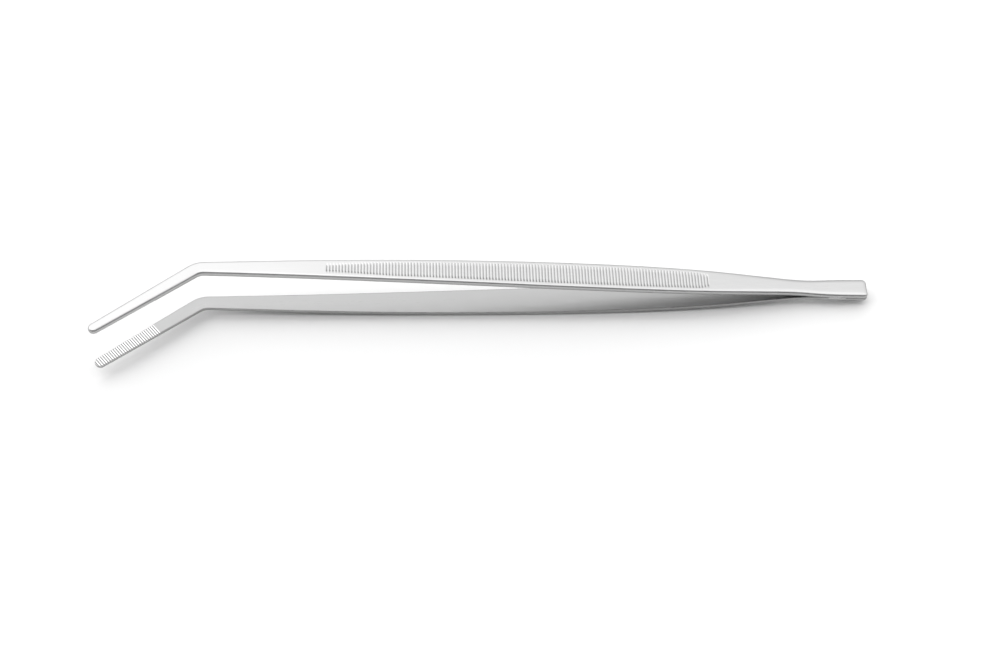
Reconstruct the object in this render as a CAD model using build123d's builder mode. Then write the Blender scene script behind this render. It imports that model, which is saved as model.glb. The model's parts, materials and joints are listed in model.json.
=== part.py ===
from build123d import *
import os
from math import cos, radians, sin

# Long tweezers with slanted jaws: two bowed arms of 2 mm stainless strip, welded together at the butt.
# Millimetres. +X runs along the arms to the welded butt and +Z is up. The tweezers lie on the belly of
# the lower arm, with the origin on the table under the middle of the bounding box.
# "Station" is a distance along an arm, measured from the butt towards the jaws.
# The fine grip ribs and the slight rounding of the rims are left out of these solids.

# ---- Side view: how the arms spread ----
thickness = 2.0
weld_end = 16.0  # the arms lie flat together up to this station
flare_end = 25.0  # and curve apart up to this one
bow_middle = 161.0  # end of the long, slightly bowed stretch
bow_end = 238.0  # from here to the tips the arms run parallel
flare_angle = 4.93  # between an arm and the middle plane at flare_end, in degrees
bow_angle = 2.02  # the same at bow_middle
rest_angle = 2.5  # how far the middle plane tips up towards the jaws when the tweezers lie down

# ---- Plan view: the outline of an arm ----
butt_width = 8.5
butt_corner = 1.8
arm_widths = {12: 8.2, 27: 7.0, 42: 8.4, 60: 10.5, 85: 12.0, 115: 12.3, 150: 11.5, 190: 9.8, 225: 7.7}
bend_station = 260.3  # where the centre lines of the arm and the jaw cross
bend_width = 5.8
bend_angle = 38.4  # in degrees, sideways, in the plane of the strip
bend_inner_radius = 4.7
bend_outer_radius = 10.5
jaw_length = 48.6
jaw_tip_width = 4.2
jaw_tip_corner = 1.9

# ---- Flexure: the spring stretch behind the grips, gathered into one hinge line ----
hinge_station = 48.0
hinge_gap = 0.06

# ---- Cross-cut jaw faces ----
tooth_pitch = 0.95
tooth_count = 29
tooth_groove_width = 0.75
tooth_groove_depth = 0.25

# ---- Weld beads in the two side seams of the butt ----
bead_start = 8.5
bead_end = 15.5
bead_radius = 0.55
bead_depth = 0.15  # how far the middle of a bead lies inside the strip's side

# ---- Side curve of the upper arm's inner face: X along the arm, Y its height over the middle plane ----
flare_radius = (flare_end - weld_end) / radians(flare_angle)
bow_radius = (bow_middle - flare_end) / radians(flare_angle - bow_angle)
belly_radius = (bow_end - bow_middle) / radians(bow_angle)
with BuildLine() as side_curve:
    root = Line((0, 0), (-weld_end, 0))
    flare = JernArc(root @ 1, root % 1, flare_radius, -flare_angle)
    bow = JernArc(flare @ 1, flare % 1, bow_radius, flare_angle - bow_angle)
    belly = JernArc(bow @ 1, bow % 1, belly_radius, bow_angle)
    Line(belly @ 1, belly @ 1 + (-jaw_length - bend_station + bow_end, 0))
inner_wire = side_curve.wire()
half_opening = (belly @ 1).Y

# ---- Plan corners ----
jaw_direction = Vector(-cos(radians(bend_angle)), -sin(radians(bend_angle)))
jaw_across = Vector(-sin(radians(bend_angle)), cos(radians(bend_angle)))
bend_point = Vector(-bend_station, 0)
tip_point = bend_point + jaw_direction * jaw_length
half_bend = radians(bend_angle / 2)
corner_offset = Vector(-sin(half_bend), cos(half_bend)) * (bend_width / 2 / cos(half_bend))
tip_round_centre = tip_point - jaw_direction * jaw_tip_width / 2
plan_min_x = tip_round_centre.X - jaw_tip_width / 2
plan_min_y = tip_round_centre.Y - jaw_tip_width / 2
plan_max_y = max(arm_widths.values()) / 2

# ---- Row frame: the middle plane of the tweezers, tipped up by rest_angle and lifted onto the belly ----
rest = radians(rest_angle)
bow_centre = bow.arc_center
belly_height = -bow_centre.Y * cos(rest) - bow_centre.X * sin(rest) - (bow_radius + thickness)
tip_rise = half_opening * sin(rest)
middle_x = (plan_min_x * cos(rest) - tip_rise) / 2
middle = Plane(
    origin=(-middle_x, -(plan_max_y + plan_min_y) / 2, -belly_height),
    x_dir=(cos(rest), 0, -sin(rest)),
    z_dir=(sin(rest), 0, cos(rest)),
)
side = Plane(origin=middle.origin, x_dir=middle.x_dir, z_dir=(0, -1, 0))
cut_reach = 320.0  # longer than the tweezers


# ---- One whole upper arm, before the flexure and the cuts ----
with BuildPart() as arm_blank:
    with BuildSketch(side):
        with BuildLine():
            add(side_curve.line)
            offset(amount=thickness, side=Side.RIGHT)
        make_face()
    extrude(amount=cut_reach, both=True)
    with BuildSketch(middle) as outline:
        with BuildLine():
            far_edge = Spline(*[(-station, width / 2) for station, width in arm_widths.items()])
            near_edge = Spline(*[(-station, -width / 2) for station, width in arm_widths.items()])
            Polyline(
                far_edge @ 1,
                bend_point + corner_offset,
                tip_point + jaw_across * jaw_tip_width / 2,
                tip_point - jaw_across * jaw_tip_width / 2,
                bend_point - corner_offset,
                near_edge @ 1,
            )
            Polyline(far_edge @ 0, (0, butt_width / 2), (0, -butt_width / 2), near_edge @ 0)
        make_face()
        corners = outline.vertices().sort_by(Axis.X)
        fillet(corners[:2], jaw_tip_corner)
        fillet(corners[2], bend_outer_radius)
        fillet(corners[3], bend_inner_radius)
        fillet(corners[-2:], butt_corner)
    extrude(amount=cut_reach, both=True, mode=Mode.INTERSECT)


def across_arm(station):
    """Plane across the upper arm: origin on the inner face, X along the arm to the butt, Y outward."""
    foot = inner_wire.position_at(station, position_mode=PositionMode.LENGTH)
    along = inner_wire.tangent_at(station, position_mode=PositionMode.LENGTH)
    return Plane(
        origin=side.from_local_coords(foot),
        x_dir=side.from_local_coords(foot - along) - side.from_local_coords(foot),
        z_dir=side.z_dir,
    )


# ---- Tooth grooves: a row of cylinders across the jaw, in its inner face ----
tooth_radius = (tooth_groove_width**2 / 4 + tooth_groove_depth**2) / (2 * tooth_groove_depth)
jaw_side = Plane(
    origin=middle.from_local_coords((tip_point.X, tip_point.Y, half_opening)),
    x_dir=middle.from_local_coords(-jaw_direction) - middle.origin,
    z_dir=middle.from_local_coords(-jaw_across) - middle.origin,
)
tooth_spots = [
    ((tooth + 0.5) * tooth_pitch, tooth_groove_depth - tooth_radius) for tooth in range(tooth_count)
]
with BuildPart() as tooth_cutters:
    with BuildSketch(jaw_side):
        with Locations(*tooth_spots):
            Circle(tooth_radius)
    extrude(amount=bend_width, both=True)

# ---- Flexure line: a round end on the arm, in a round socket in the root ----
hinge = across_arm(hinge_station)
with BuildPart() as root_side:
    with BuildSketch(hinge):
        with Locations((cut_reach / 2, 0)):
            Rectangle(cut_reach, cut_reach)
        with Locations((0, thickness / 2)):
            Circle(thickness / 2, mode=Mode.SUBTRACT)
    extrude(amount=cut_reach, both=True)
with BuildPart() as arm_side:
    with BuildSketch(hinge):
        with Locations((-cut_reach / 2, 0)):
            Rectangle(cut_reach, cut_reach)
        with Locations((0, thickness / 2)):
            Circle(thickness / 2 + hinge_gap)
    extrude(amount=cut_reach, both=True)

# ---- The two arms from the flexure line to the tips ----
with BuildPart() as upper_arm:
    add(arm_blank.part)
    add(root_side.part, mode=Mode.SUBTRACT)
    add(tooth_cutters.part, mode=Mode.SUBTRACT)
upper_arm.part.label = "upper_arm"

with BuildPart() as lower_arm:
    mirror(upper_arm.part, about=middle)
lower_arm.part.label = "lower_arm"

# ---- Their roots, lying flat together at the butt ----
with BuildPart() as upper_arm_root:
    add(arm_blank.part)
    add(arm_side.part, mode=Mode.SUBTRACT)
upper_arm_root.part.label = "upper_arm_root"

with BuildPart() as lower_arm_root:
    mirror(upper_arm_root.part, about=middle)
lower_arm_root.part.label = "lower_arm_root"

# ---- A weld bead along each side seam ----
bead_middle = (bead_start + bead_end) / 2
bead_side = arm_widths[12] / 2 - bead_depth
with BuildPart() as weld_beads:
    for seam_side in (-1, 1):
        seam = Plane(
            origin=middle.from_local_coords((-bead_middle, seam_side * bead_side, 0)),
            x_dir=middle.x_dir,
            z_dir=middle.z_dir,
        )
        with BuildSketch(seam):
            SlotOverall(bead_end - bead_start, 2 * bead_radius)
            split(bisect_by=Plane.XZ)
        revolve(axis=Axis(seam.origin, seam.x_dir))
    add(upper_arm_root.part, mode=Mode.SUBTRACT)
    add(lower_arm_root.part, mode=Mode.SUBTRACT)
weld_beads.part.label = "weld_beads"

# ---- Hand over ----
os.makedirs("parts", exist_ok=True)
for piece in (upper_arm_root, lower_arm_root, weld_beads, upper_arm, lower_arm):
    export_step(piece.part, f"parts/{piece.part.label}.step")
    print(piece.part.label, round(piece.part.volume, 1), piece.part.bounding_box())

hinge_centre = hinge.from_local_coords((0, thickness / 2))
print("upper hinge", hinge_centre, "middle plane", middle.origin, "half opening", half_opening)
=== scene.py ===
# %% [markdown]
# # Long slant-jaw tweezers in satin stainless steel
# Real tweezers of this kind start as two strips stamped from 2 mm sheet. Grip ribs and jaw teeth are pressed
# in while the strips are flat, then each strip is bent to its bow, and the two are welded together at the butt.
# This lesson makes them in the same order: a flat blank in mesh code, then one Geometry Nodes tree that presses
# the pattern and bends the blank along a path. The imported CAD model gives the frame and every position.

# %% Load the frame
import json
from math import atan2, cos, degrees, pi, radians, sin, tan

import bpy
import numpy as np
from mathutils import Matrix, Vector


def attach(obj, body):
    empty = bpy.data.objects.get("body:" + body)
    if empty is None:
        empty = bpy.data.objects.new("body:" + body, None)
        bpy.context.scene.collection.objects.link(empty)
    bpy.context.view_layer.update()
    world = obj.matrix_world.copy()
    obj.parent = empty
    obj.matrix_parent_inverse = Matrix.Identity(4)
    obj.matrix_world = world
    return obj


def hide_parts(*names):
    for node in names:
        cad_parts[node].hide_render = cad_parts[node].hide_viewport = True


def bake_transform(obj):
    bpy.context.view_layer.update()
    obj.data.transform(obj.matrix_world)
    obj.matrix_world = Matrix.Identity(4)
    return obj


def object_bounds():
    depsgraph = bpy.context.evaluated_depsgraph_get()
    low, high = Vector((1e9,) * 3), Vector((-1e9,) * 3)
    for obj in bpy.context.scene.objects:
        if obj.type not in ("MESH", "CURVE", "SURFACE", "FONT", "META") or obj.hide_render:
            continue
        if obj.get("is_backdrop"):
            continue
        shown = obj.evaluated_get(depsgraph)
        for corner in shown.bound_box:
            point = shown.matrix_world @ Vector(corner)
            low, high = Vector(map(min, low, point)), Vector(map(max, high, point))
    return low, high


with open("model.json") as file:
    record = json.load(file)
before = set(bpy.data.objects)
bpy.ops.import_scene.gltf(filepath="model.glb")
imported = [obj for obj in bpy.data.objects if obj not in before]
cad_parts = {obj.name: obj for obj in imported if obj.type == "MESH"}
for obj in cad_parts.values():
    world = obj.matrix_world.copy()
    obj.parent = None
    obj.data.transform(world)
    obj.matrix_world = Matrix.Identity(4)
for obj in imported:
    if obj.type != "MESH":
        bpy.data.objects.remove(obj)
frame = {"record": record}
cad_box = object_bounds()
mm = 0.001

# %% [markdown]
# ## Where the tweezers lie
# The record's butt_end mount sits on the upper arm's end face, halfway through the sheet, and its axis points out
# of the butt. That is enough to find the middle plane between the arms. The tweezers lie on the
# belly of the lower arm, so this plane tips up towards the jaws by the same angle as the mount's axis.

# %% The middle plane
thickness = 2.0 * mm
butt_mount = next(m for m in frame["record"]["mounts"] if m["name"] == "butt_end")
out_of_butt = Vector(butt_mount["axis"])
tip_up = atan2(-out_of_butt.z, out_of_butt.x)
up_from_middle = Vector((sin(tip_up), 0, cos(tip_up)))
butt_middle = Vector(butt_mount["pos_m"]) - up_from_middle * thickness / 2
lay_down = Matrix.Translation(butt_middle) @ Matrix.Rotation(tip_up, 4, "Y")
print("the jaws tip up by", round(degrees(tip_up), 3), "degrees; butt at", [round(x / mm, 2) for x in butt_middle])

# %% [markdown]
# ## Colours, written once as hex
# A colour picked from a real object is an sRGB value, and shaders want linear light. One function turns a hex
# string into the four linear numbers that a colour socket takes.


# %% Hex to linear
def linear(hex_colour):
    """Linear RGBA from an sRGB hex string such as "#C6C6C6"."""
    parts = [int(hex_colour[i : i + 2], 16) / 255 for i in (1, 3, 5)]
    return [c / 12.92 if c <= 0.04045 else ((c + 0.055) / 1.055) ** 2.4 for c in parts] + [1.0]


print("satin steel", [round(c, 3) for c in linear("#C6C6C6")])

# %% [markdown]
# ## One helper for every node
# Shader trees and Geometry Nodes trees are wired in the same way, so one small function adds a node, sets its
# properties and fills its inputs. The inputs are a list in socket order or a dict by name. Each value is a
# constant, an output socket, or an earlier node, which stands for its first output.


# %% Add a node
def put(tree, kind, inputs=(), **settings):
    """Adds a node of that kind to tree, sets its properties, and fills or links its inputs."""
    node = tree.nodes.new(kind)
    for name, value in settings.items():
        setattr(node, name, value)
    for key, value in inputs.items() if isinstance(inputs, dict) else enumerate(inputs):
        if isinstance(value, bpy.types.Node):
            value = value.outputs[0]
        if isinstance(value, bpy.types.NodeSocket):
            tree.links.new(value, node.inputs[key])
        else:
            node.inputs[key].default_value = value
    return node


# %% [markdown]
# ## Satin-brushed stainless steel
# The strips are cold-rolled 18/8 stainless, belt-brushed along their length and then lightly tumbled. The eye
# gets a pale neutral grey metal, reflections blurred more across the grain than along it, and fine streaks that run
# round the jaw's bend with the strip. Real 240-grit streaks are about 0.06 mm apart, too fine to show here, so
# they are drawn 0.25 mm apart, with a weak bump. The streaks use the strip's own UV map: U runs along the strip
# and V across it, both in metres, so they follow the bends. The jaw faces are painted lighter, a painted highlight
# that makes the lands between the teeth the brightest metal on the tool. Groove floors are made rougher and painted
# darker, a painted shade in the grooves; the inner faces are painted a darker grey, a painted shade for the gap
# between the arms; and the rims are painted a little darker, a painted shade that deepens the dark line along the
# edges and the side walls.


# %% Material for the arms
def satin_brushed_stainless():
    made = bpy.data.materials.new("satin-brushed stainless")
    made.use_nodes = True
    tree = made.node_tree
    tree.nodes.clear()
    strip = put(tree, "ShaderNodeUVMap", uv_map="strip")
    fine = put(tree, "ShaderNodeMapping", {"Vector": strip, "Scale": (90, 4000, 1)})
    streaks = put(
        tree, "ShaderNodeTexNoise",
        {"Vector": fine, "Scale": 1.0, "Detail": 3.0, "Roughness": 0.6}, noise_dimensions="2D",
    ).outputs["Fac"]
    wide = put(tree, "ShaderNodeMapping", {"Vector": strip, "Scale": (25, 180, 1)})
    handling = put(
        tree, "ShaderNodeTexNoise",
        {"Vector": wide, "Scale": 1.0, "Detail": 2.0, "Roughness": 0.5}, noise_dimensions="2D",
    ).outputs["Fac"]
    jaw, pressed, inside, rim = [
        put(tree, "ShaderNodeAttribute", attribute_name=name).outputs["Fac"]
        for name in ("jaw", "pressed", "inside", "rim")
    ]

    colour = put(
        tree, "ShaderNodeMix",
        {"Factor": streaks, "A": linear("#C6C6C6"), "B": linear("#D6D6D6")}, data_type="RGBA",
    ).outputs["Result"]
    # Painted light and shade: the jaw lands are mixed towards light grey as a painted highlight; groove floors, inner
    # faces and rims are mixed towards darker greys as painted shade.
    for where, strength, tint in (
        (jaw, 0.9, "#F2F2F2"), (pressed, 0.55, "#6A6A6A"), (inside, 0.75, "#A0A0A0"), (rim, 0.5, "#8C8C8C"),
    ):
        amount = put(tree, "ShaderNodeMath", [where, strength], operation="MULTIPLY")
        colour = put(
            tree, "ShaderNodeMix", {"Factor": amount, "A": colour, "B": linear(tint)}, data_type="RGBA"
        ).outputs["Result"]

    blur = put(
        tree, "ShaderNodeMapRange",
        {"Value": streaks, "From Min": 0.3, "From Max": 0.7, "To Min": 0.25, "To Max": 0.36},
    )
    for where, change in ((handling, 0.06), (pressed, 0.10), (rim, -0.06)):
        blur = put(tree, "ShaderNodeMath", [where, change, blur], operation="MULTIPLY_ADD")
    scratch = put(tree, "ShaderNodeBump", {"Height": streaks, "Strength": 0.10, "Distance": 0.02 * mm})
    steel = put(
        tree, "ShaderNodeBsdfPrincipled",
        {
            "Base Color": colour, "Roughness": blur, "Metallic": 1.0, "Normal": scratch,
            "Specular Tint": linear("#D0D0D0"),
        },
    )
    put(tree, "ShaderNodeOutputMaterial", {"Surface": steel})
    return made


satin_steel = satin_brushed_stainless()
print("made", satin_steel.name)

# %% [markdown]
# ## The weld metal
# The seam is closed by a short TIG bead on each side, pickled clean and otherwise left as welded. Molten steel
# freezes in ripples and keeps a smooth skin, so it has less grain and more gloss than the strips. Its ripples are
# real shape, made further down, and the material adds only the mottling.


# %% Material for the beads
def tig_weld_steel():
    made = bpy.data.materials.new("weld-bead stainless")
    made.use_nodes = True
    tree = made.node_tree
    tree.nodes.clear()
    place = put(tree, "ShaderNodeTexCoord").outputs["Object"]
    mottle = put(
        tree, "ShaderNodeTexNoise", {"Vector": place, "Scale": 1500.0, "Detail": 3.0, "Roughness": 0.55},
    ).outputs["Fac"]
    skin = put(
        tree, "ShaderNodeMix",
        {"Factor": mottle, "A": linear("#B4B4B4"), "B": linear("#D8D8D8")}, data_type="RGBA",
    ).outputs["Result"]
    blur = put(tree, "ShaderNodeMapRange", {"Value": mottle, "To Min": 0.22, "To Max": 0.42})
    lumps = put(tree, "ShaderNodeBump", {"Height": mottle, "Strength": 0.25, "Distance": 0.05 * mm})
    steel = put(
        tree, "ShaderNodeBsdfPrincipled",
        {"Base Color": skin, "Roughness": blur, "Metallic": 1.0, "Normal": lumps},
    )
    put(tree, "ShaderNodeOutputMaterial", {"Surface": steel})
    return made


weld_steel = tig_weld_steel()
print("made", weld_steel.name)

# %% [markdown]
# ## The outline of the stamped blank
# A blank can be drawn as a curve and filled, but a filled curve has long thin triangles that don't bend. This one
# is a grid with a row at each station, which is a distance from the butt along the strip. The width at any
# station comes from a table of the strip's widths, joined by smooth cubic pieces that never overshoot. At both
# ends the corners are quarter circles.

# %% Width at a station
bend_angle = radians(38.4)
bend_radius = 7.6 * mm
bend_start = 260.3 * mm - bend_radius * tan(bend_angle / 2)
bend_end = bend_start + bend_radius * bend_angle
strip_length = bend_end + 48.6 * mm - bend_radius * tan(bend_angle / 2)
butt_corner = 1.8 * mm
tip_corner = 1.9 * mm
stations = np.array([0, 12, 27, 42, 60, 85, 115, 150, 190, 225, 257, 262.7, 308.7]) * mm
widths = np.array([8.5, 8.2, 7.0, 8.4, 10.5, 12.0, 12.3, 11.5, 9.8, 7.7, 5.85, 5.75, 4.2]) * mm


def smooth_table(where, xs, ys):
    """Cubic pieces through a table, with slopes limited so that nothing overshoots between its points."""
    steps = np.diff(ys) / np.diff(xs)
    slopes = np.concatenate([[steps[0]], (steps[1:] + steps[:-1]) / 2, [steps[-1]]])
    slopes[1:-1][steps[1:] * steps[:-1] <= 0] = 0
    i = np.clip(np.searchsorted(xs, where) - 1, 0, len(xs) - 2)
    gap = xs[i + 1] - xs[i]
    t = np.clip((where - xs[i]) / gap, 0, 1)
    return (
        ys[i] * (1 + 2 * t) * (1 - t) ** 2 + ys[i + 1] * t * t * (3 - 2 * t)
        + gap * (slopes[i] * t * (1 - t) ** 2 - slopes[i + 1] * t * t * (1 - t))
    )


def half_width(station):
    """Half of the strip's width, with its end corners rounded in."""
    half = smooth_table(station, stations, widths) / 2
    for corner, from_end in ((butt_corner, station), (tip_corner, strip_length - station)):
        inside = np.clip(corner - from_end, 0, corner)
        half = half - corner + np.sqrt(corner**2 - inside**2)
    return half


print("strip", round(strip_length / mm, 2), "mm long, half width at 115:", half_width(np.array([0.115])) / mm)

# %% [markdown]
# ## The rims
# Tumbling rounds every edge that it can reach. The outer rim has a small round on the grips and a larger one on
# the jaws, where the strip was also filed by hand, and on the neck and head a wide soft shoulder leads into it.
# The inner rim only loses its burr. All of them come from one rule: how far the surface drops at a given
# distance from the outline. That works round the corners as well, with no bevel to go wrong.


# %% Rim profile
def to_outline(station, across):
    """Distance from a point on the strip to its outline."""
    side = smooth_table(station, stations, widths) / 2 - np.abs(across)
    nearest = np.minimum(np.minimum(side, station), strip_length - station)
    for corner, end in ((butt_corner, station), (tip_corner, strip_length - station)):
        a, b = corner - np.minimum(end, corner), corner - np.minimum(side, corner)
        nearest = np.where((a > 0) & (b > 0), corner - np.hypot(a, b), nearest)
    return np.maximum(nearest, 0)


def rounding(distance, radius):
    """Drop of a quarter-round edge at this distance from the outline."""
    inside = np.clip(radius - distance, 0, radius)
    return radius - np.sqrt(radius**2 - inside**2)


rim_stations = np.array([0, 20, 40, 70, 150, 225, 262, 308.7]) * mm
outer_rim = np.array([0.70, 0.70, 0.70, 0.75, 0.80, 0.90, 1.10, 1.10]) * mm
shoulder_width = np.array([2.1, 2.1, 2.0, 1.3, 1.1, 1.0, 0.9, 0.9]) * mm
shoulder_drop = np.array([0.45, 0.45, 0.42, 0.16, 0.12, 0.10, 0.06, 0.06]) * mm
inner_rim = 0.15 * mm


def outer_drop(station, distance):
    """How far the outer face lies under its full height at this distance from the outline."""
    wide = np.interp(station, rim_stations, shoulder_width)
    soft = np.clip(1 - distance / wide, 0, 1) ** 2 * np.interp(station, rim_stations, shoulder_drop)
    return rounding(distance, np.interp(station, rim_stations, outer_rim)) + soft


print("drop at the rim of the head:", outer_drop(np.array([0.008]), np.array([0.0])) / mm)

# %% [markdown]
# ## Where the grip ribs end
# The ribbed field is a long lens. It keeps 1.8 mm away from the rims, and narrows to a blunt end at each side.
# The blank gets a pair of columns right on the field's border, so that each rib ends crisply there.

# %% Grip field and jaw field
grip_start, grip_end = 63.0 * mm, 211.8 * mm
rib_pitch = 1.2 * mm
tooth_pitch, tooth_count = 0.95 * mm, 29
jaw_field_start = strip_length - tooth_count * tooth_pitch


rib_margin = 1.8 * mm


def grip_half(station):
    """Half of the ribbed field's width, and zero where there are no ribs."""
    to_jaws = np.where(station < grip_end, 1.2 * mm + 0.08 * (grip_end - station), 0)
    to_butt = np.where(station > grip_start, 2.3 * mm + 0.4 * (station - grip_start), 0)
    return np.minimum(half_width(station) - rib_margin, np.minimum(to_jaws, to_butt))


print("ribs:", round((grip_end - grip_start) / rib_pitch), "grip half width at 115:", grip_half(np.array([0.115])) / mm)

# %% [markdown]
# ## The rows and columns of the blank
# A pressed pattern needs enough rows to hold its shape: eight for each rib and eight for each tooth. The plain
# stretches bend so gently that a row each millimetre or so is plenty, and the ends and the jaw's bend get a few
# more. This keeps an arm under 200,000 triangles.

# %% Rows
end_rows = np.array([0, 0.03, 0.09, 0.18, 0.3, 0.45, 0.6, 0.8, 1.05, 1.35, 1.65, 1.9]) * mm
rows = np.concatenate([
    end_rows,
    np.arange(2.8, 62.9, 1.15) * mm,
    np.linspace(grip_start, grip_end, round((grip_end - grip_start) / rib_pitch) * 8 + 1),
    np.arange(213, 257, 1.2) * mm,
    np.linspace(bend_start, bend_end, 15),
    np.linspace(bend_end, jaw_field_start, 17)[1:-1],
    [jaw_field_start - 0.02 * mm],
    np.linspace(jaw_field_start, strip_length, tooth_count * 8 + 1),
    strip_length - np.array([0.03, 0.075, 0.18]) * mm,
])
rows = np.unique(np.round(rows, 7))
print(len(rows), "rows")

# %% Columns
rim_insets = np.array([0, 0.04, 0.15, 0.33, 0.56, 0.85, 1.2, 1.6]) * mm
full_rim_half = 2.2 * mm  # where the strip is narrower than twice this, the rim columns draw together
narrowest_rib = 0.12 * mm
border_gap = 0.06 * mm  # the pair of columns stands this far on each side of the field's border
half = half_width(rows)
squeeze = np.minimum(1, half / full_rim_half)
field = grip_half(rows)
ribbed = field > narrowest_rib
last_inset = half - rim_insets[-1] * squeeze
border_out = np.where(ribbed, np.minimum(field + border_gap, last_inset * 0.97), last_inset * 0.8)
border_in = np.where(ribbed, field - border_gap, last_inset * 0.72)
near_half = np.stack(
    [half - inset * squeeze for inset in rim_insets]
    + [border_out, border_in, border_in * 0.62, border_in * 0.3, border_in * 0],
)
across = np.concatenate([-near_half, near_half[-2::-1]]).T
station_grid = np.repeat(rows[:, None], across.shape[1], axis=1)
print("columns:", across.shape[1], "triangles per arm:", (len(rows) - 1) * across.shape[1] * 4)

# %% [markdown]
# ## The flat blank
# Both faces of the strip use the same grid, the outer one at the strip's thickness and the inner one at zero,
# each lowered or raised by its rim rule. A ring of quads closes the side walls and the two ends. The mesh also
# carries what the next steps ask for: a grip mask and a jaw mask, how near each point is to a rim, and a UV map
# that keeps the station and the place across the strip after it is bent.


# %% Make the blank
def stamped_blank():
    rows_n, columns = across.shape
    distance = to_outline(station_grid, across)
    outer_height = thickness - outer_drop(station_grid, distance)
    inner_height = rounding(distance, inner_rim)
    outer = np.stack([station_grid, across, outer_height], axis=-1).reshape(-1, 3)
    inner = np.stack([station_grid, across, inner_height], axis=-1).reshape(-1, 3)
    size = rows_n * columns
    corner = np.arange(size).reshape(rows_n, columns)
    a, b, c, d = corner[:-1, :-1], corner[:-1, 1:], corner[1:, 1:], corner[1:, :-1]
    quads = [np.stack([a, b, c, d], -1).reshape(-1, 4)[:, ::-1], np.stack([a, b, c, d], -1).reshape(-1, 4) + size]
    edge = np.concatenate([corner[0, :], corner[1:, -1], corner[-1, -2::-1], corner[-2::-1, 0]])
    quads.append(np.stack([edge[:-1], edge[1:], edge[1:] + size, edge[:-1] + size], -1))
    faces = np.concatenate(quads)
    mesh = bpy.data.meshes.new("blank")
    mesh.from_pydata(np.concatenate([outer, inner]).tolist(), [], faces.tolist())
    in_field = np.abs(across) < border_in[:, None] + 1e-6
    # jaw and inside also tell the material where to paint: the jaw lands lighter as a painted highlight, and the inner
    # faces darker as a painted shade between the arms. rim marks the edges that are painted darker as a painted shade.
    masks = {
        "grip": np.concatenate([(in_field & ribbed[:, None]).ravel(), np.zeros(size)]),
        "jaw": np.concatenate([np.zeros(size), (station_grid >= jaw_field_start - 1e-6).ravel()]),
        "inside": np.concatenate([np.zeros(size), (station_grid < jaw_field_start - 1e-6).ravel()]),
        "rim": np.tile(np.clip(1 - distance / (0.55 * mm), 0, 1).ravel(), 2),
    }
    for name, values in masks.items():
        mesh.attributes.new(name, "FLOAT", "POINT").data.foreach_set("value", values.astype(np.float32))
    places = np.concatenate([outer, inner + np.array([0, 0.02, 0])])
    strip = mesh.uv_layers.new(name="strip")
    loops = np.zeros(len(mesh.loops), np.int32)
    mesh.loops.foreach_get("vertex_index", loops)
    strip.data.foreach_set("uv", places[loops, :2].astype(np.float32).ravel())
    mesh.polygons.foreach_set("use_smooth", np.ones(len(mesh.polygons), bool))
    mesh.update()
    return mesh


blank = stamped_blank()
print("blank:", len(blank.vertices), "vertices,", len(blank.polygons), "faces")

# %% [markdown]
# ## The path that the strip is bent along
# From the side, the arm leaves the weld on a short tight curve, runs on in a long slight bow, turns back on a
# third curve, and ends parallel to the other arm. Seen from above, it then turns 38 degrees sideways into the
# jaw. Each stretch is a circular arc, on which the slope changes evenly, so adding up many short steps of a
# slope that is a plain table gives the whole path. It is kept as a curve object for the nodes to sample.


# %% Make the path
def arm_path():
    flare, bow = radians(4.93), radians(2.02)
    steps = np.concatenate([np.arange(0, 257.5, 0.25) * mm, np.linspace(bend_start, bend_end, 60), [strip_length]])
    steps = np.unique(steps)
    middle = (steps[1:] + steps[:-1]) / 2
    rise = np.interp(middle, np.array([16, 25, 161, 238]) * mm, [0, flare, bow, 0])
    turn = np.interp(middle, [bend_start, bend_end], [0, bend_angle])
    step = np.diff(steps)
    walk = np.stack([-np.cos(rise) * np.cos(turn), -np.cos(rise) * np.sin(turn), np.sin(rise)], -1) * step[:, None]
    points = np.concatenate([[[0, 0, 0]], np.cumsum(walk, axis=0)])
    curve = bpy.data.curves.new("arm path", "CURVE")
    curve.dimensions = "3D"
    line = curve.splines.new("POLY")
    line.points.add(len(points) - 1)
    line.points.foreach_set("co", np.column_stack([points, np.ones(len(points))]).astype(np.float32).ravel())
    return bpy.data.objects.new("arm path", curve), points


path, path_points = arm_path()
bpy.context.scene.collection.objects.link(path)
print("tip of the path", path_points[-1] / mm, "half opening", round(path_points[-1][2] / mm, 3))

# %% [markdown]
# ## Press and bend: the Geometry Nodes tree
# Ribs and teeth repeat, and the strip follows a path, which is what Geometry Nodes do well. The first half of the
# tree works on the flat blank, where a groove is only a wave of the station. Ribs are rounded grooves, a cosine
# valley in each pitch, and teeth are V grooves. The second half samples the path at each point's station and
# stands the point across it and over it. A mirrored copy makes the lower arm, with its faces turned over again.


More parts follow.
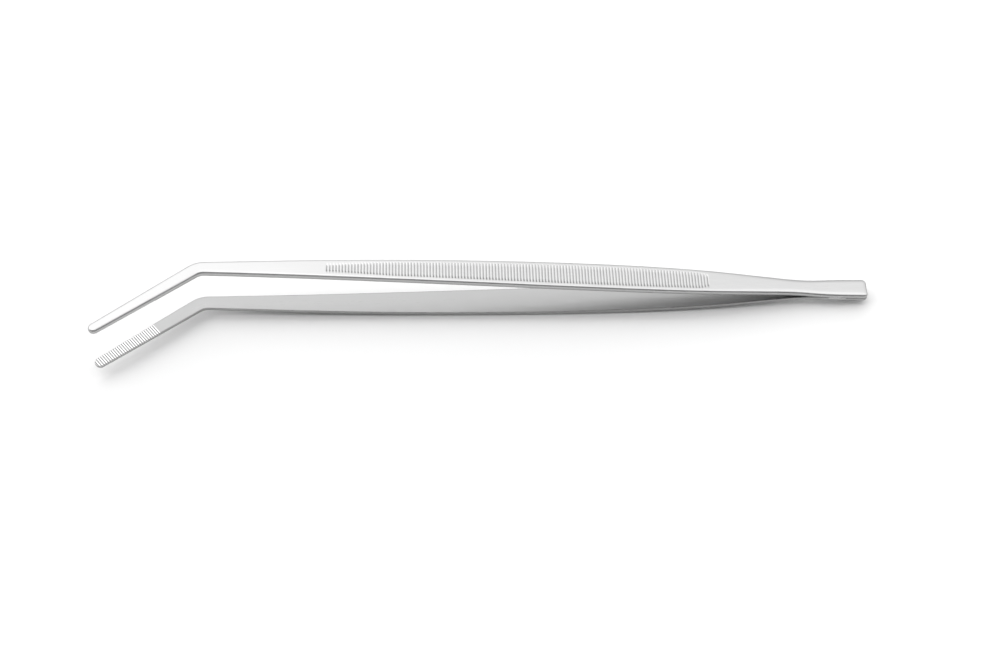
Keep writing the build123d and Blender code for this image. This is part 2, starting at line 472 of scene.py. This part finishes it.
# %% Build the tree
def press_and_bend_tree():
    tree = bpy.data.node_groups.new("press and bend", "GeometryNodeTree")
    sockets = [
        ("Blank", "NodeSocketGeometry"), ("Path", "NodeSocketObject"), ("Finish", "NodeSocketMaterial"),
        ("Rib start", "NodeSocketFloat"), ("Rib pitch", "NodeSocketFloat"), ("Rib groove width", "NodeSocketFloat"),
        ("Rib groove depth", "NodeSocketFloat"), ("Tooth start", "NodeSocketFloat"), ("Tooth pitch", "NodeSocketFloat"),
        ("Tooth groove width", "NodeSocketFloat"), ("Tooth groove depth", "NodeSocketFloat"),
        ("Lower arm", "NodeSocketBool"),
    ]
    for name, kind in sockets:
        tree.interface.new_socket(name, in_out="INPUT", socket_type=kind)
    tree.interface.new_socket("Arm", in_out="OUTPUT", socket_type="NodeSocketGeometry")
    given = put(tree, "NodeGroupInput").outputs
    place = put(tree, "GeometryNodeInputPosition")
    flat = put(tree, "ShaderNodeSeparateXYZ", [place]).outputs
    station = flat["X"]
    grip, jaw = [
        put(tree, "GeometryNodeInputNamedAttribute", {"Name": name}, data_type="FLOAT").outputs["Attribute"]
        for name in ("grip", "jaw")
    ]

    def from_groove(start, pitch, width):
        """0 in the middle of a groove, 1 at its edge and on the land beside it."""
        half_pitch = put(tree, "ShaderNodeMath", [pitch, 0.5], operation="MULTIPLY")
        along = put(tree, "ShaderNodeMath", [station, start], operation="SUBTRACT")
        shifted = put(tree, "ShaderNodeMath", [along, half_pitch], operation="SUBTRACT")
        off = put(tree, "ShaderNodeMath", [shifted, half_pitch], operation="PINGPONG")
        reach = put(tree, "ShaderNodeMath", [width, 0.5], operation="MULTIPLY")
        return put(tree, "ShaderNodeMath", [off, reach], operation="DIVIDE", use_clamp=True)

    # ribs: a cosine valley in each groove, kept to the grip field
    rib_turn = put(
        tree, "ShaderNodeMath",
        [from_groove(given["Rib start"], given["Rib pitch"], given["Rib groove width"]), pi], operation="MULTIPLY",
    )
    rib_wave = put(tree, "ShaderNodeMath", [rib_turn], operation="COSINE")
    rib_wave = put(tree, "ShaderNodeMath", [rib_wave, 0.5, 0.5], operation="MULTIPLY_ADD")
    rib = put(tree, "ShaderNodeMath", [rib_wave, grip], operation="MULTIPLY")

    # teeth: a straight-sided V in each groove, kept to the jaw face
    tooth_v = put(
        tree, "ShaderNodeMath",
        [1.0, from_groove(given["Tooth start"], given["Tooth pitch"], given["Tooth groove width"])],
        operation="SUBTRACT",
    )
    tooth = put(tree, "ShaderNodeMath", [tooth_v, jaw], operation="MULTIPLY")

    # both are pressed into the sheet: ribs down from the outer face, teeth up from the inner one
    rib_dip = put(tree, "ShaderNodeMath", [rib, given["Rib groove depth"]], operation="MULTIPLY")
    height = put(tree, "ShaderNodeMath", [flat["Z"], rib_dip], operation="SUBTRACT")
    height = put(tree, "ShaderNodeMath", [tooth, given["Tooth groove depth"], height], operation="MULTIPLY_ADD")
    # pressed marks the groove floors, which the material makes rougher and paints darker as a painted shade.
    pressed = put(tree, "ShaderNodeMath", [tooth, 1.8, rib], operation="MULTIPLY_ADD")
    noted = put(
        tree, "GeometryNodeStoreNamedAttribute",
        {"Geometry": given["Blank"], "Name": "pressed", "Value": pressed}, data_type="FLOAT", domain="POINT",
    )

    # bend: the place on the path at this station, then across the strip, then over it. The three directions are
    # right-handed, so that bending doesn't turn the strip inside out.
    line = put(tree, "GeometryNodeObjectInfo", {"Object": given["Path"]}).outputs["Geometry"]
    here = put(
        tree, "GeometryNodeSampleCurve", {"Curves": line, "Length": station}, mode="LENGTH", data_type="FLOAT",
    ).outputs
    across_raw = put(tree, "ShaderNodeVectorMath", [(0, 0, 1), here["Tangent"]], operation="CROSS_PRODUCT")
    sideways = put(tree, "ShaderNodeVectorMath", [across_raw], operation="NORMALIZE")
    outward = put(tree, "ShaderNodeVectorMath", [here["Tangent"], sideways], operation="CROSS_PRODUCT")
    beside = put(tree, "ShaderNodeVectorMath", {0: sideways, "Scale": flat["Y"]}, operation="SCALE")
    over = put(tree, "ShaderNodeVectorMath", {0: outward, "Scale": height}, operation="SCALE")
    stood = put(tree, "ShaderNodeVectorMath", [beside, over], operation="ADD")
    bent_place = put(tree, "ShaderNodeVectorMath", [here["Position"], stood], operation="ADD")
    bent = put(tree, "GeometryNodeSetPosition", {"Geometry": noted, "Position": bent_place})

    # the lower arm is a mirror image
    mirrored = put(tree, "GeometryNodeTransform", {"Geometry": bent, "Scale": (1, 1, -1)})
    turned = put(tree, "GeometryNodeFlipFaces", {"Mesh": mirrored})
    chosen = put(
        tree, "GeometryNodeSwitch",
        {"Switch": given["Lower arm"], "False": bent, "True": turned}, input_type="GEOMETRY",
    ).outputs["Output"]
    real = put(tree, "GeometryNodeRealizeInstances", {"Geometry": chosen})
    finished = put(tree, "GeometryNodeSetMaterial", {"Geometry": real, "Material": given["Finish"]})
    put(tree, "NodeGroupOutput", {"Arm": finished})
    return tree


press_and_bend = press_and_bend_tree()
print("tree:", press_and_bend.name, len(press_and_bend.nodes), "nodes")

# %% [markdown]
# ## From a live modifier to a plain mesh
# The export keeps meshes, not modifiers, so each tree is run once and its result is stored. The modifier's
# inputs are set by the sockets' identifiers before the object is evaluated for the first time.


# %% Run a tree once
def run_tree(name, mesh, tree, **inputs):
    """A new object whose mesh is the tree's result on mesh. An input's name has _ for each space."""
    piece = bpy.data.objects.new(name, mesh)
    bpy.context.scene.collection.objects.link(piece)
    modifier = piece.modifiers.new("shape", "NODES")
    modifier.node_group = tree
    for socket in tree.interface.items_tree:
        if socket.in_out == "INPUT" and socket.name.replace(" ", "_") in inputs:
            modifier[socket.identifier] = inputs[socket.name.replace(" ", "_")]
    depsgraph = bpy.context.evaluated_depsgraph_get()
    plain = bpy.data.meshes.new_from_object(
        piece.evaluated_get(depsgraph), preserve_all_data_layers=True, depsgraph=depsgraph
    )
    piece.modifiers.remove(modifier)
    piece.data = plain
    plain.name = name
    plain.transform(lay_down)
    plain.update()
    return piece


def volume(mesh):
    """Signed volume in cubic millimetres: positive when the faces point outwards."""
    mesh.calc_loop_triangles()
    points = np.zeros(len(mesh.vertices) * 3, np.float32)
    mesh.vertices.foreach_get("co", points)
    corners = np.zeros(len(mesh.loop_triangles) * 3, np.int32)
    mesh.loop_triangles.foreach_get("vertices", corners)
    p = points.reshape(-1, 3).astype(float)[corners.reshape(-1, 3)]
    return float(np.einsum("ij,ij->i", p[:, 0], np.cross(p[:, 1], p[:, 2])).sum() / 6) / mm**3


# %% Both arms
arm_inputs = dict(
    Path=path, Finish=satin_steel, Rib_start=grip_start, Rib_pitch=rib_pitch, Rib_groove_width=0.8 * mm,
    Rib_groove_depth=0.19 * mm, Tooth_start=jaw_field_start, Tooth_pitch=tooth_pitch,
    Tooth_groove_width=0.6 * mm, Tooth_groove_depth=0.28 * mm,
)
upper_strip = run_tree("upper_arm_strip", blank, press_and_bend, Lower_arm=False, **arm_inputs)
lower_strip = run_tree("lower_arm_strip", blank, press_and_bend, Lower_arm=True, **arm_inputs)
for strip in (upper_strip, lower_strip):
    print(strip.name, "volume", round(volume(strip.data), 1), "mm3, triangles", len(strip.data.loop_triangles))

# %% [markdown]
# ## The weld beads
# A bead of weld is a row of frozen ripples that thins out at both ends. It could be sculpted, but it follows the
# seam and repeats, so nodes make it too: a line along the seam, its radius a taper times a ripple, a round
# profile swept along it, and one instance on each side of the head.


# %% Bead tree
def bead_tree():
    tree = bpy.data.node_groups.new("weld beads", "GeometryNodeTree")
    for name in ("Length", "Radius", "Ripple pitch", "Ripple depth", "Middle", "Side"):
        tree.interface.new_socket(name, in_out="INPUT", socket_type="NodeSocketFloat")
    tree.interface.new_socket("Finish", in_out="INPUT", socket_type="NodeSocketMaterial")
    tree.interface.new_socket("Beads", in_out="OUTPUT", socket_type="NodeSocketGeometry")
    given = put(tree, "NodeGroupInput").outputs
    to_left = put(tree, "ShaderNodeMath", [given["Length"], -0.5], operation="MULTIPLY")
    to_right = put(tree, "ShaderNodeMath", [given["Length"], 0.5], operation="MULTIPLY")
    left = put(tree, "ShaderNodeCombineXYZ", {"X": to_left})
    right = put(tree, "ShaderNodeCombineXYZ", {"X": to_right})
    line = put(tree, "GeometryNodeCurvePrimitiveLine", {"Start": left, "End": right})
    line = put(tree, "GeometryNodeResampleCurve", {"Curve": line, "Count": 97})
    part = put(tree, "GeometryNodeSplineParameter").outputs

    # the taper: full in the middle and rounded off at both ends
    from_middle = put(tree, "ShaderNodeMath", [part["Factor"], 2.0, -1.0], operation="MULTIPLY_ADD")
    fourth = put(tree, "ShaderNodeMath", [from_middle, 4.0], operation="POWER")
    taper = put(tree, "ShaderNodeMath", [1.0, fourth], operation="SUBTRACT")
    taper = put(tree, "ShaderNodeMath", [taper, 0.0004], operation="MAXIMUM")
    taper = put(tree, "ShaderNodeMath", [taper], operation="SQRT")

    # the ripples: one dip in each pitch
    turns = put(tree, "ShaderNodeMath", [part["Length"], given["Ripple pitch"]], operation="DIVIDE")
    turns = put(tree, "ShaderNodeMath", [turns, 2 * pi], operation="MULTIPLY")
    wave = put(tree, "ShaderNodeMath", [turns], operation="COSINE")
    wave = put(tree, "ShaderNodeMath", [wave, 0.5, 0.5], operation="MULTIPLY_ADD")
    dip = put(tree, "ShaderNodeMath", [wave, given["Ripple depth"]], operation="MULTIPLY")
    radius = put(tree, "ShaderNodeMath", [given["Radius"], dip], operation="SUBTRACT")
    radius = put(tree, "ShaderNodeMath", [radius, taper], operation="MULTIPLY")

    # sweep a ring along the line, once for each side of the head
    ring = put(tree, "GeometryNodeCurvePrimitiveCircle", {"Resolution": 20, "Radius": 1.0})
    bead = put(
        tree, "GeometryNodeCurveToMesh", {"Curve": line, "Profile Curve": ring, "Scale": radius, "Fill Caps": True}
    )
    near_side = put(tree, "ShaderNodeMath", [given["Side"], -1.0], operation="MULTIPLY")
    first = put(tree, "ShaderNodeCombineXYZ", {"X": given["Middle"], "Y": near_side})
    apart = put(tree, "ShaderNodeMath", [given["Side"], 2.0], operation="MULTIPLY")
    reach = put(tree, "ShaderNodeCombineXYZ", {"Y": apart})
    sides = put(tree, "GeometryNodeMeshLine", {"Count": 2, "Start Location": first, "Offset": reach})
    pair = put(tree, "GeometryNodeInstanceOnPoints", {"Points": sides, "Instance": bead})
    real = put(tree, "GeometryNodeRealizeInstances", {"Geometry": pair})
    smooth = put(tree, "GeometryNodeSetShadeSmooth", [real])
    finished = put(tree, "GeometryNodeSetMaterial", {"Geometry": smooth, "Material": given["Finish"]})
    put(tree, "NodeGroupOutput", {"Beads": finished})
    return tree


seam_beads = run_tree(
    "seam_weld_beads", bpy.data.meshes.new("bead start"), bead_tree(), Length=7.0 * mm, Radius=0.54 * mm,
    Ripple_pitch=0.7 * mm, Ripple_depth=0.07 * mm, Middle=-12.0 * mm, Side=3.95 * mm, Finish=weld_steel,
)
print(seam_beads.name, "volume", round(volume(seam_beads.data), 2), "faces", len(seam_beads.data.polygons))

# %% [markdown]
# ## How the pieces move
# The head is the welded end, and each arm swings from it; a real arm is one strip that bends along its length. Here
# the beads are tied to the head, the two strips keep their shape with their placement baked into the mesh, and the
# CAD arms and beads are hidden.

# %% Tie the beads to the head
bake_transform(upper_strip)
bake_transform(lower_strip)
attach(seam_beads, "head")
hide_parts("upper_arm_root", "upper_arm")
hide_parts("lower_arm_root", "lower_arm")
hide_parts("weld_beads")
bpy.data.objects.remove(path)

# %% [markdown]
# ## Floor
# A sheet of white paper: matt, nearly white, and large enough that its edge is never seen from the camera.

# %% Paper floor
bpy.ops.mesh.primitive_plane_add(size=120.0, location=(0, 0, 0))
floor = bpy.context.active_object
floor.name = "paper_floor"
paper = bpy.data.materials.new("matt white paper")
paper.use_nodes = True
sheet = paper.node_tree.nodes["Principled BSDF"]
sheet.inputs["Base Color"].default_value = linear("#EFEFEF")
sheet.inputs["Roughness"].default_value = 0.9
sheet.inputs["Specular IOR Level"].default_value = 0.1
floor.data.materials.append(paper)
floor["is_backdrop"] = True
print("floor", floor.name)

# %% [markdown]
# ## Studio light
# Polished metal shows the room, so the room is the light. It is a wide soft sky: brightest overhead, bright
# behind the tweezers, and with a dark panel in front, above where the camera stands, that draws the fine dark
# line along the near rims. Under the panel a low pale wall keeps the steel from going black when it is seen from
# behind. One large softbox behind gives the soft shadow.


# %% Soft sky
def soft_sky():
    world = bpy.data.worlds.new("studio")
    world.use_nodes = True
    bpy.context.scene.world = world
    tree = world.node_tree
    tree.nodes.clear()
    way = put(tree, "ShaderNodeTexCoord").outputs["Generated"]
    towards = put(tree, "ShaderNodeSeparateXYZ", [way]).outputs
    up = put(tree, "ShaderNodeMath", [towards["Z"], 0.02], operation="MAXIMUM")
    tip = put(tree, "ShaderNodeMath", [towards["Y"], up], operation="ARCTAN2")
    front_to_back = put(tree, "ShaderNodeMath", [tip, 1 / pi, 0.5], operation="MULTIPLY_ADD")
    left_to_right = put(tree, "ShaderNodeMath", [towards["X"], 1.25, 0.25], operation="MULTIPLY_ADD")
    bands = []
    for where, stops in (
        (front_to_back, [
            (0.0, 0.16), (0.06, 0.11), (0.12, 0.08), (0.25, 0.08), (0.35, 0.12), (0.42, 0.40), (0.48, 0.55),
            (0.56, 0.54), (0.64, 0.46), (0.71, 0.42), (0.78, 0.38), (0.87, 0.22), (1.0, 0.15),
        ]),
        (left_to_right, [
            (0.0, 0.65), (0.22, 0.65), (0.27, 0.60), (0.32, 0.51), (0.38, 0.41), (0.44, 0.385), (0.50, 0.43),
            (0.56, 0.47), (1.0, 0.47),
        ]),
    ):
        band = put(tree, "ShaderNodeValToRGB", [where])
        band.color_ramp.interpolation = "EASE"
        ends = band.color_ramp.elements
        ends[0].position, ends[1].position = stops[0][0], stops[-1][0]
        for at, _ in stops[1:-1]:
            ends.new(at)
        for stop, (_, value) in zip(ends, stops):
            stop.color = (value, value, value, 1)
        bands.append(band)
    both = put(
        tree, "ShaderNodeMix", {"Factor": 1.0, "A": bands[0], "B": bands[1]}, data_type="RGBA", blend_type="MULTIPLY"
    ).outputs["Result"]
    sky = put(tree, "ShaderNodeBackground", {"Color": both, "Strength": 6.5})
    put(tree, "ShaderNodeOutputWorld", {"Surface": sky})
    return world


soft_sky()


def softbox(name, place, aim, width, height, power):
    """A rectangular area light at place, facing aim."""
    lamp = bpy.data.lights.new(name, "AREA")
    lamp.shape = "RECTANGLE"
    lamp.size, lamp.size_y, lamp.energy = width, height, power
    box = bpy.data.objects.new(name, lamp)
    box.location = place
    box.rotation_euler = (Vector(aim) - Vector(place)).to_track_quat("-Z", "Y").to_euler()
    bpy.context.scene.collection.objects.link(box)
    return box


back_light = softbox("back softbox", (0.22, 1.15, 0.48), (0, 0, 0), 0.9, 0.6, 3.6)
back_light.visible_glossy = False
print("sky and softbox ready")

# %% [markdown]
# ## Camera
# The camera looks down at the tweezers from in front, far enough away that the two ends keep nearly the same
# scale, and level from left to right.

# %% Camera
looks_at = Vector((5.1, -5.0, 3.7)) * mm
distance = 747.05 * mm
down, aside = radians(52.807), radians(1.549)
eye = bpy.data.cameras.new("camera")
eye.lens, eye.sensor_width = 69.64, 36.0
eye.clip_start, eye.clip_end = 0.01, 200.0
camera = bpy.data.objects.new("camera", eye)
back = Vector((-cos(down) * sin(aside), -cos(down) * cos(aside), sin(down)))
camera.location = looks_at + back * distance
camera.rotation_mode = "QUATERNION"
camera.rotation_quaternion = (-back).to_track_quat("-Z", "Y")
bpy.context.scene.collection.objects.link(camera)
bpy.context.scene.camera = camera
bpy.context.scene.view_settings.view_transform = "Standard"
print("camera", [round(x, 4) for x in camera.location])

# %% Sizes, and finish
shown_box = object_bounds()
for name, corners in (("CAD", cad_box), ("visual", shown_box)):
    print(name, [[round(x / mm, 2) for x in p] for p in corners])
